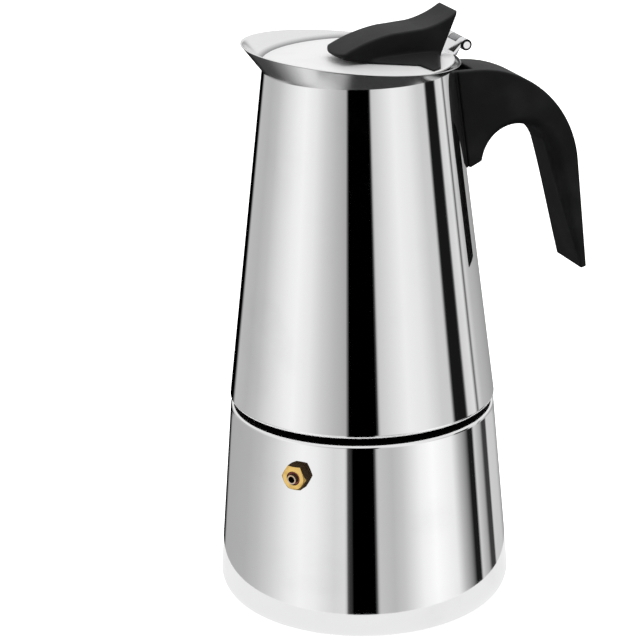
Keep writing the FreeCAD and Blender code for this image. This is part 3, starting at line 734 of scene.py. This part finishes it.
def smooth_piece(name: str, mesh: bmesh.types.BMesh, sharp_angle: float) -> bpy.types.Object:
    """Turns a mesh into a smooth object with crisp corners.

    Args:
        name: the object's name.
        mesh: its mesh, which is used up.
        sharp_angle: edges over this many degrees stay crisp.

    Returns:
        The object, linked to the scene.
    """
    bmesh.ops.recalc_face_normals(mesh, faces=mesh.faces)
    for face in mesh.faces:
        face.smooth = True
    data = bpy.data.meshes.new(name)
    mesh.to_mesh(data)
    mesh.free()
    data.set_sharp_from_angle(angle=math.radians(sharp_angle))
    piece = bpy.data.objects.new(name, data)
    bpy.context.scene.collection.objects.link(piece)
    return piece


def fit(piece: bpy.types.Object, body: Body, slot: Slot, *nodes: str) -> None:
    """Puts a new piece in the place of CAD nodes.

    Args:
        piece: the new piece.
        body: the body that it rides on.
        slot: the record's material slot; not used.
        nodes: the nodes that it stands for.
    """
    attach(piece, body.value)
    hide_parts(*nodes)
    log.info("built %s on %s", piece.name, body.value)


def paint(piece: bpy.types.Object, second: bpy.types.Material, wanted: Callable[[Vector], bool]) -> None:
    """Gives some faces a second material.

    Args:
        piece: the piece.
        second: the material.
        wanted: tells from a face's middle whether it gets the material.
    """
    piece.data.materials.append(second)
    number = len(piece.data.materials) - 1
    for face in piece.data.polygons:
        if wanted(face.center):
            face.material_index = number


# Sub-assemblies


class Finishes:
    """The materials of the whole coffee maker."""

    def __init__(self) -> None:
        """Makes every material once."""
        low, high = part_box("hinge_pin")
        leaf_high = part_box("lid_leaf")[1]
        pin = ((low[0] + high[0]) / 2, (low[2] + high[2]) / 2)
        self.mirror = PolishedSteel().material()
        self.smeared = PolishedSteel(name="smeared_steel_look", roughness=0.13, smudge=0.06).material()
        # The collar gets painted shade on its inner faces below 189.2 mm, beside the lid's edge.
        self.collar = PolishedSteel(
            name="collar_steel_look", roughness=0.15, smudge=0.02, painted_shade_level=189.2 * MM
        ).material()
        self.lid = SatinSteel(
            name="lid_steel_look", tint=(0.70, 0.70, 0.70), stained=(0.66, 0.66, 0.665),
            roughness=0.42, metal=0.45,
        ).material()
        self.satin = SatinSteel().material()
        self.strap = SatinSteel(
            name="strap_steel_look", tint=(0.30, 0.30, 0.31), stained=(0.18, 0.18, 0.18), roughness=0.2
        ).material()
        self.seam = SeamSteel().material()
        self.hinge = HingeSteel(pin=pin, half_width=leaf_high[1]).material()
        valve = SafetyValve()
        self.brass = TurnedBrass(valve.centre(), valve.axis(), valve.bore).material()
        self.pin_brass = TurnedBrass(
            valve.centre(), valve.axis(), valve.pin_bore, name="valve_pin_look", bright=(0.62, 0.50, 0.40)
        ).material()
        self.plastic = MouldedPlastic().material()
        self.red_seal = SealRubber("valve_seal_look", (0.16, 0.02, 0.016), (0.26, 0.06, 0.05)).material()
        self.white_seal = SealRubber("white_seal_look", (0.80, 0.79, 0.75), (0.70, 0.68, 0.62)).material()


@dataclass
class Boiler:
    """The lower vessel with its threaded neck."""

    base_radius: float = 50.8 * MM
    top_radius: float = 45.2 * MM
    height: float = 69.4 * MM
    wall: float = 1.0 * MM
    floor: float = 1.6 * MM
    foot_round: float = 7.6 * MM
    foot_steps: int = 14
    shoulder_round: float = 1.0 * MM
    neck_radius: float = 39.8 * MM
    ledge_share: float = 0.985

    def inside(self, level: float) -> float:
        """Inner radius at a level."""
        slope = (self.base_radius - self.top_radius) / self.height
        return self.base_radius - slope * level - self.wall

    def build(self, finishes: Finishes) -> None:
        """Turns the shell and dresses the neck.

        Args:
            finishes: the materials.
        """
        ceiling = self.height - self.wall
        corners = [
            Corner(0.0, 0.0),
            Corner(self.base_radius, 0.0, self.foot_round),
            Corner(self.top_radius, self.height, self.shoulder_round),
            Corner(self.neck_radius, self.height),
            Corner(self.neck_radius, ceiling),
            Corner(self.inside(ceiling), ceiling),
            Corner(self.inside(self.floor), self.floor, self.foot_round - self.wall),
            Corner(0.0, self.floor),
        ]
        shell = Turning("boiler_wall", corners, closed=False, arc_steps=self.foot_steps).build()
        shell.data.materials.append(finishes.mirror)
        # The top face inside the shoulder and the neck take the seam finish, near-black below the seam's
        # top: painted shade in the groove.
        ledge = (self.top_radius - self.shoulder_round) * self.ledge_share
        paint(shell, finishes.seam, lambda spot: spot.z > ceiling and spot.xy.length < ledge)
        fit(shell, Body.BOILER, Slot.POLISHED, "boiler_shell")
        dress(["boiler_neck"], finishes.seam)


@dataclass
class SafetyValve:
    """The brass valve in the boiler's wall."""

    angle: float = 221.0
    level: float = 57.5 * MM
    reach: float = 46.13 * MM
    flats: float = 8.1 * MM
    head: float = 3.2 * MM
    seat: float = -0.25 * MM
    face_radius: float = 3.8 * MM
    face_slope: float = 0.72
    shank_radius: float = 3.6 * MM
    shank_end: float = -5.2 * MM
    bore: float = 2.3 * MM
    bore_end: float = -4.2 * MM
    inlet: float = 1.3 * MM
    pin_bore: float = 1.1 * MM
    segments: int = 96
    sharp_angle: float = 25.0

    def axis(self) -> Triple:
        """The direction that the valve points in."""
        heading = math.radians(self.angle)
        return (math.cos(heading), math.sin(heading), 0.0)

    def centre(self) -> Triple:
        """The middle of the valve on the boiler's wall."""
        x, y, _ = self.axis()
        return (x * self.reach, y * self.reach, self.level)

    def build(self, finishes: Finishes) -> None:
        """Builds the body and dresses the rest.

        Args:
            finishes: the materials.
        """
        self._body(finishes)
        dress(["valve_nut"], finishes.brass)
        dress(["valve_piston"], finishes.pin_brass)
        dress(["valve_retainer"], finishes.red_seal)
        dress(["valve_washer"], finishes.white_seal)
        dress(["valve_spring"], finishes.satin)

    def _body(self, finishes: Finishes) -> None:
        """Builds the hexagonal head with its bevelled face, its shank and its bore.

        Args:
            finishes: the materials.
        """
        outward = Vector(self.axis()).to_track_quat("Z", "Y").to_matrix()
        frame_of_valve = Matrix.Translation(self.centre()) @ outward.to_4x4()
        mesh = bmesh.new()
        sections = []
        for step in range(self.segments):
            turn = math.tau * step / self.segments
            side = turn % (math.pi / 3) - math.pi / 6
            corner = self.flats / 2 / math.cos(side)
            bevel = self.head - (corner - self.face_radius) * self.face_slope
            outline = [
                (self.inlet, self.shank_end),
                (self.shank_radius, self.shank_end),
                (self.shank_radius, self.seat),
                (corner, self.seat),
                (corner, bevel),
                (self.face_radius, self.head),
                (self.bore, self.head),
                (self.bore, self.bore_end),
                (self.inlet, self.bore_end),
            ]
            section = []
            for radius, distance in outline:
                spot = Vector((radius * math.cos(turn), radius * math.sin(turn), distance))
                section.append(mesh.verts.new(frame_of_valve @ spot))
            sections.append(section)
        join_rings(mesh, sections, closed=True)
        body = smooth_piece("valve_hexagon", mesh, self.sharp_angle)
        body.data.materials.append(finishes.brass)
        fit(body, Body.BOILER, Slot.BRASS, "valve_body")


@dataclass
class Funnel:
    """The drop-in funnel, and the seal and filter above it."""

    metal: tuple[str, ...] = ("funnel_basket", "funnel_screen", "funnel_stem", "filter_plate")
    seals: tuple[str, ...] = ("gasket",)

    def build(self, finishes: Finishes) -> None:
        """Dresses the funnel, the seal and the filter.

        Args:
            finishes: the materials.
        """
        dress(self.metal, finishes.satin)
        dress(self.seals, finishes.white_seal)


@dataclass
class UpperVessel:
    """The upper vessel: wall, floor, column and slanted pouring collar."""

    base: float = 71.8 * MM
    top: float = 186.2 * MM
    base_radius: float = 45.4 * MM
    top_radius: float = 31.8 * MM
    wall: float = 1.0 * MM
    foot_round: float = 0.8 * MM
    rim_radius: float = 36.75 * MM
    rim_wall: float = 0.9 * MM
    rim_shift: float = 2.4 * MM
    rim_rise: float = 5.25 * MM
    rim_tilt: float = 6.36
    lip_steps: int = 10
    collar_segments: int = 256
    collar_shares: Triple = (0.05, 0.5, 0.95)
    sharp_angle: float = 35.0

    def build(self, finishes: Finishes) -> None:
        """Turns the wall, lofts the collar and dresses the rest.

        Args:
            finishes: the materials.
        """
        self._wall(finishes)
        self._collar(finishes)
        # The thread ring takes the seam finish, near-black below the seam's top: painted shade.
        dress(["thread_ring"], finishes.seam)
        dress(["upper_floor"], finishes.satin)
        dress(["coffee_column", "column_cap"], finishes.smeared)

    def _wall(self, finishes: Finishes) -> None:
        """Turns the wall.

        Args:
            finishes: the materials.
        """
        corners = [
            Corner(self.base_radius - self.wall, self.base),
            Corner(self.base_radius, self.base, self.foot_round),
            Corner(self.top_radius, self.top),
            Corner(self.top_radius - self.wall, self.top),
        ]
        shell = Turning("upper_wall", corners, closed=True).build()
        shell.data.materials.append(finishes.mirror)
        # Painted highlight: the foot below its round takes the lid's satin finish, which shows as an even
        # light line in place of the round's reflection.
        paint(shell, finishes.lid, lambda spot: spot.z < self.base + self.foot_round)
        fit(shell, Body.UPPER, Slot.POLISHED, "upper_shell")

    def _collar(self, finishes: Finishes) -> None:
        """Lofts the collar from the wall's top to the slanted rim, with a rounded lip.

        Args:
            finishes: the materials.
        """
        tilt = Matrix.Rotation(math.radians(self.rim_tilt), 3, "Y")
        middle = Vector((-self.rim_shift, 0.0, self.top + self.rim_rise))
        lip = self.rim_wall / 2
        mesh = bmesh.new()
        rings = []
        for step in range(self.collar_segments):
            angle = math.tau * step / self.collar_segments
            outward = Vector((math.cos(angle), math.sin(angle), 0.0))
            foot = outward * self.top_radius + Vector((0.0, 0.0, self.top))
            inner_foot = foot - outward * self.wall
            rim = middle + tilt @ (outward * self.rim_radius)
            inner_rim = middle + tilt @ (outward * (self.rim_radius - self.rim_wall))
            up = (rim - foot).normalized()
            across = (inner_rim - rim) / 2
            centre = (rim + inner_rim) / 2 - up * lip
            section = [foot]
            section += [foot.lerp(centre - across, share) for share in self.collar_shares]
            for part in range(self.lip_steps + 1):
                turn = math.pi * part / self.lip_steps
                section.append(centre - across * math.cos(turn) + up * (lip * math.sin(turn)))
            section += [(centre + across).lerp(inner_foot, share) for share in self.collar_shares]
            section.append(inner_foot)
            rings.append([mesh.verts.new(point) for point in section])
        join_rings(mesh, rings, closed=True)
        collar = smooth_piece("pouring_collar", mesh, self.sharp_angle)
        collar.data.materials.append(finishes.collar)
        fit(collar, Body.UPPER, Slot.POLISHED, "collar")


@dataclass
class Lid:
    """The lid with its hinge, finger rest and screws."""

    base: float = 188.0 * MM
    thickness: float = 0.8 * MM
    radius: float = 32.0 * MM
    edge_round: float = 0.3 * MM
    knob_voxel: float = 0.3 * MM
    knob_rounds: int = 10

    def build(self, finishes: Finishes) -> None:
        """Turns the disc and dresses the hinge and the finger rest.

        Args:
            finishes: the materials.
        """
        top = self.base + self.thickness
        corners = [
            Corner(0.0, self.base),
            Corner(self.radius, self.base, self.edge_round),
            Corner(self.radius, top, self.edge_round),
            Corner(0.0, top),
        ]
        disc = Turning("lid_plate", corners, closed=False).build()
        disc.data.materials.append(finishes.lid)
        fit(disc, Body.LID, Slot.POLISHED, "lid_disc")
        dress(["lid_leaf"], finishes.hinge)
        dress(["hinge_bracket"], finishes.strap)
        dress(["hinge_pin"], finishes.smeared)
        dress(["lid_knob"], finishes.plastic)
        soften("lid_knob", self.knob_voxel, self.knob_rounds)
        dress(["knob_screws"], finishes.satin)


@dataclass
class Handle:
    """The side handle and what holds it."""

    grip: tuple[str, ...] = ("handle",)
    fasteners: tuple[str, ...] = ("handle_bracket", "handle_screw")

    def build(self, finishes: Finishes) -> None:
        """Dresses the handle, its tongue and its screw.

        Args:
            finishes: the materials.
        """
        dress(self.grip, finishes.plastic)
        dress(self.fasteners, finishes.satin)


# Studio


def grey(light: float) -> Colour:
    """A grey of this light."""
    return (light, light, light)


def light_only(lamp: bpy.types.Object, link: Link, *pieces: bpy.types.Object) -> None:
    """Chooses the pieces that a thing of the studio lights.

    Args:
        lamp: the thing.
        link: whether it lights these pieces alone, or all but these.
        pieces: the pieces.
    """
    seen_in = bpy.data.collections.new(lamp.name)
    for piece in pieces:
        seen_in.objects.link(piece)
    for member in seen_in.collection_objects:
        member.light_linking.link_state = link.value
    lamp.light_linking.receiver_collection = seen_in


@dataclass(frozen=True)
class Screens:
    """Bright and dark screens round the pot: heading from the camera, in degrees, and light."""

    stops: tuple[tuple[float, float], ...]

    def light(self, shader: Shader, turn: Value) -> Value:
        """The light of the screens by a turn from 0 to 1."""
        stops = [((heading + 180) / 360, grey(light)) for heading, light in self.stops]
        return shader.ramp(turn, *stops)


UPPER_SCREENS = Screens(
    (
        (-180, 0.2), (-174, 0.03), (-168, 0.0), (-151, 0.0), (-147.5, 0.3), (-144, 0.55), (-120, 0.52),
        (-104, 0.60), (-88, 0.80), (-72, 0.97), (-62, 1.03), (-48, 0.91), (-36, 0.70), (-24, 0.55),
        (-14, 0.46), (-11.8, 0.0), (12.5, 0.0), (14.5, 0.66), (24, 0.78), (40, 0.98), (56, 0.91),
        (72, 0.69), (82, 0.68), (85, 0.01), (99.5, 0.01), (102.5, 0.73), (113, 0.83), (117, 0.06),
        (120, 0.72), (128, 0.54), (180, 0.25),
    )
)
BOILER_SCREENS = Screens(
    (
        (-180, 0.02), (-160, 0.02), (-154, 0.44), (-112, 0.50), (-96, 0.58), (-80, 0.73), (-64, 0.94),
        (-52, 1.03), (-40, 0.97), (-24, 0.77), (-14.5, 0.80), (-12.5, 0.05), (-9.5, 0.03), (-8.8, 0.0),
        (9.5, 0.0), (11.7, 0.62), (24, 0.55), (32, 0.64), (48, 1.0), (60, 1.13), (80, 0.95), (88, 0.55),
        (96, 0.27), (101, 0.012), (107, 0.012), (109.5, 0.69), (120, 0.41), (124, 0.05), (131, 0.05),
        (133.5, 0.69), (152, 0.63), (170, 0.26),
    )
)
UNDER_SCREEN = (
    (0.0, grey(0.06)), (0.2, grey(0.07)), (0.3, grey(0.10)), (0.49, grey(0.26)), (0.65, grey(0.56)),
    (0.74, grey(0.82)), (0.83, grey(0.78)), (0.865, grey(0.5)), (0.885, grey(0.18)), (0.905, grey(0.07)),
)
CARD_LIGHT = (
    (0.0, grey(0.4)), (0.08, grey(0.2)), (0.16, grey(0.1)), (0.26, grey(0.06)), (0.62, grey(0.03)),
)


@dataclass(frozen=True)
class Lamp:
    """A large soft lamp that no piece mirrors."""

    name: str
    place: Triple
    size: float
    watts: float
    target: Triple = (0.0, 0.0, 0.1)

    def build(self) -> None:
        """Hangs the lamp, turned to its target."""
        data = bpy.data.lights.new(self.name, "AREA")
        data.size = self.size
        data.energy = self.watts
        lamp = bpy.data.objects.new(self.name, data)
        lamp.location = self.place
        aim = Vector(self.target) - lamp.location
        lamp.rotation_euler = aim.to_track_quat("-Z", "Y").to_euler()
        lamp.visible_glossy = False
        bpy.context.scene.collection.objects.link(lamp)


LAMPS = (
    Lamp("top_lamp", (0.1, -0.1, 1.3), size=1.2, watts=9.0),
    Lamp("left_lamp", (-1.1, -0.6, 0.8), size=0.9, watts=7.0),
)


@dataclass
class Studio:
    """Floor, soft light and the photograph's camera."""

    camera_place: Triple = (-0.30062, -0.78314, 0.38827)
    camera_turn: Triple = (70.90, 0.998, -20.387)
    focal_px: float = 2600.0
    image_px: float = 640.0
    sensor_mm: float = 36.0
    world_light: float = 0.95
    floor_size: float = 12.0
    floor_scale: float = 9.0
    floor_range: Range = (0.3, 0.7)
    floor_greys: Range = (0.92, 0.95)
    floor_roughness: float = 0.7
    floor_glow: float = 0.45
    dome_radius: float = 8.0
    low_dome_radius: float = 7.0
    dome_segments: int = 64
    dome_heading: float = -111.0
    seam_rise: float = 0.184
    seam_fall: float = -0.362
    seam_blur: float = 0.004
    sky: float = 0.9
    sky_range: Range = (0.03, 0.2)
    dim: float = 0.04
    dim_range: Range = (-0.26, -0.08)
    steep: float = -0.68
    shallow: float = -0.43
    strip_blur: float = 0.03
    card_radius: float = 78.0 * MM
    card_segments: int = 96
    card_centre: tuple[float, float] = (-3.6 * MM, -9.3 * MM)
    card_depth: float = 0.5 * MM
    card_gap: float = 0.01 * MM
    card_scale: float = 30.0
    card_greys: Range = (0.92, 0.97)

    def build(self) -> None:
        """Builds the whole studio."""
        self._camera()
        self._floor()
        self._world()
        for lamp in LAMPS:
            lamp.build()
        self._domes()
        self._cards()
        bpy.context.scene.view_settings.view_transform = "Standard"

    def _camera(self) -> None:
        """Sets up the camera at the photograph's viewing angle."""
        data = bpy.data.cameras.new("photo_camera")
        data.sensor_width = self.sensor_mm
        data.lens = self.focal_px * self.sensor_mm / self.image_px
        camera = bpy.data.objects.new("photo_camera", data)
        camera.location = self.camera_place
        camera.rotation_euler = Euler([math.radians(turn) for turn in self.camera_turn])
        bpy.context.scene.collection.objects.link(camera)
        bpy.context.scene.camera = camera

    def _staged(self, name: str, mesh: bmesh.types.BMesh, material: bpy.types.Material) -> bpy.types.Object:
        """Adds a thing of the studio.

        Args:
            name: its name.
            mesh: its mesh, which is used up.
            material: what it is made of.

        Returns:
            The object.
        """
        data = bpy.data.meshes.new(name)
        mesh.to_mesh(data)
        mesh.free()
        data.materials.append(material)
        thing = bpy.data.objects.new(name, data)
        bpy.context.scene.collection.objects.link(thing)
        return thing

    def _only_reflected(self, thing: bpy.types.Object) -> None:
        """Shows a thing in reflections alone.

        Args:
            thing: the thing of the studio.
        """
        thing.visible_camera = False
        thing.visible_diffuse = False
        thing.visible_shadow = False
        thing.visible_transmission = False

    def _floor(self) -> None:
        """Lays the plain pale floor."""
        shader = Shader("pale_floor")
        cloud = shader.noise(shader.place(), self.floor_scale)
        stops = [(at, grey(light)) for at, light in zip(self.floor_range, self.floor_greys)]
        mesh = bmesh.new()
        bmesh.ops.create_grid(mesh, x_segments=1, y_segments=1, size=self.floor_size / 2)
        pale = shader.finish(
            Base_Color=shader.ramp(cloud, *stops),
            Roughness=self.floor_roughness,
            Emission_Color=(*grey(1.0), 1.0),
            Emission_Strength=self.floor_glow,
        )
        floor = self._staged("floor", mesh, pale)
        floor.visible_glossy = False

    def _world(self) -> None:
        """Fills the surroundings with even white light."""
        world = bpy.data.worlds.new("white_room")
        world.use_nodes = True
        backdrop = world.node_tree.nodes["Background"]
        backdrop.inputs["Color"].default_value = (*grey(1.0), 1.0)
        backdrop.inputs["Strength"].default_value = self.world_light
        bpy.context.scene.world = world

    def _domes(self) -> None:
        """Sets screens far round the pot: a dome for most pieces, and a clear one inside it for the rest."""
        most = Shader("dome_screens")
        light = self._screens(most, self.dome_radius, self.steep)
        self._dome("light_dome", self.dome_radius, most.glow(light), Link.ALL_BUT)
        rest = Shader("low_screens")
        light = self._screens(rest, self.low_dome_radius, self.shallow)
        self._dome("low_dome", self.low_dome_radius, rest.glow(light, clear=True), Link.ONLY)

    def _screens(self, shader: Shader, radius: float, low_edge: float) -> Value:
        """The light of the screens: one pattern for each vessel, an even sky and a strip below.

        Args:
            shader: the shader of a dome.
            radius: the dome's radius.
            low_edge: the height, as a share of the radius, where the strip begins.

        Returns:
            The light's colour.
        """
        place = shader.place()
        turn = shader.node("ShaderNodeTexGradient", {"gradient_type": "RADIAL"}, {"Vector": place})[1]
        _, side, rise = [part * (1.0 / radius) for part in shader.axes(place)]
        seam = ((turn - 0.5) * math.pi).cosine() * self.seam_rise + self.seam_fall
        above = shader.within(rise - seam, -self.seam_blur, self.seam_blur)
        walls = shader.mixed(above, BOILER_SCREENS.light(shader, turn), UPPER_SCREENS.light(shader, turn))
        upper = shader.mixed(shader.within(rise, *self.sky_range), walls, (*grey(self.sky), 1.0))
        right = shader.within(side, *self.dim_range)
        strip = shader.ramp(rise * -2.0 - 1.0, *UNDER_SCREEN)
        under = shader.mixed(right, strip, (*grey(self.dim), 1.0))
        above_strip = shader.within(rise, low_edge - self.strip_blur, low_edge + self.strip_blur)
        return shader.mixed(above_strip, under, upper)

    def _dome(self, name: str, radius: float, material: bpy.types.Material, link: Link) -> None:
        """Sets one dome, seen only in reflections.

        Args:
            name: its name.
            radius: its radius.
            material: the light that it gives.
            link: whether the collar and the handle alone see it, or all but these.
        """
        mesh = bmesh.new()
        around = self.dome_segments
        bmesh.ops.create_uvsphere(mesh, u_segments=around, v_segments=around // 2, radius=radius)
        dome = self._staged(name, mesh, material)
        dome.rotation_euler = (0.0, 0.0, math.radians(self.dome_heading))
        self._only_reflected(dome)
        light_only(dome, link, bpy.data.objects["pouring_collar"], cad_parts["handle"])

    def _cards(self) -> None:
        """Lays a bright card under the pot for the boiler's foot, and a darker one for all the rest."""
        bright = Shader("bright_card")
        cloud = bright.noise(bright.place(), self.card_scale)
        low, high = self.card_greys
        light = bright.ramp(cloud, (0.0, grey(low)), (1.0, grey(high)))
        self._card("bright_card", self.card_depth, bright.glow(light, clear=True), Link.ONLY)
        dark = Shader("dark_card")
        aside = dark.axes(dark.place())[0] * (0.5 / self.card_radius) + 0.5
        light = dark.ramp(aside, *CARD_LIGHT)
        self._card("dark_card", self.card_depth + self.card_gap, dark.glow(light), Link.ALL_BUT)

    def _card(self, name: str, depth: float, material: bpy.types.Material, link: Link) -> None:
        """Lays one card.

        Args:
            name: its name.
            depth: how far it lies under the pot.
            material: the light that it gives.
            link: whether the boiler alone sees it, or all but the boiler.
        """
        mesh = bmesh.new()
        bmesh.ops.create_circle(mesh, cap_ends=True, segments=self.card_segments, radius=self.card_radius)
        card = self._staged(name, mesh, material)
        card.location = (*self.card_centre, -depth)
        card.rotation_euler = (0.0, 0.0, math.radians(self.dome_heading + 90))
        self._only_reflected(card)
        light_only(card, link, bpy.data.objects["boiler_wall"])


def main() -> None:
    """Builds the studio and every sub-assembly."""
    logging.basicConfig(level=logging.INFO, format="%(name)s: %(message)s")
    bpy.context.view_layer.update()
    finishes = Finishes()
    for part in (Boiler(), SafetyValve(), Funnel(), UpperVessel(), Lid(), Handle()):
        part.build(finishes)
    Studio().build()


if __name__ == "__main__":
    main()
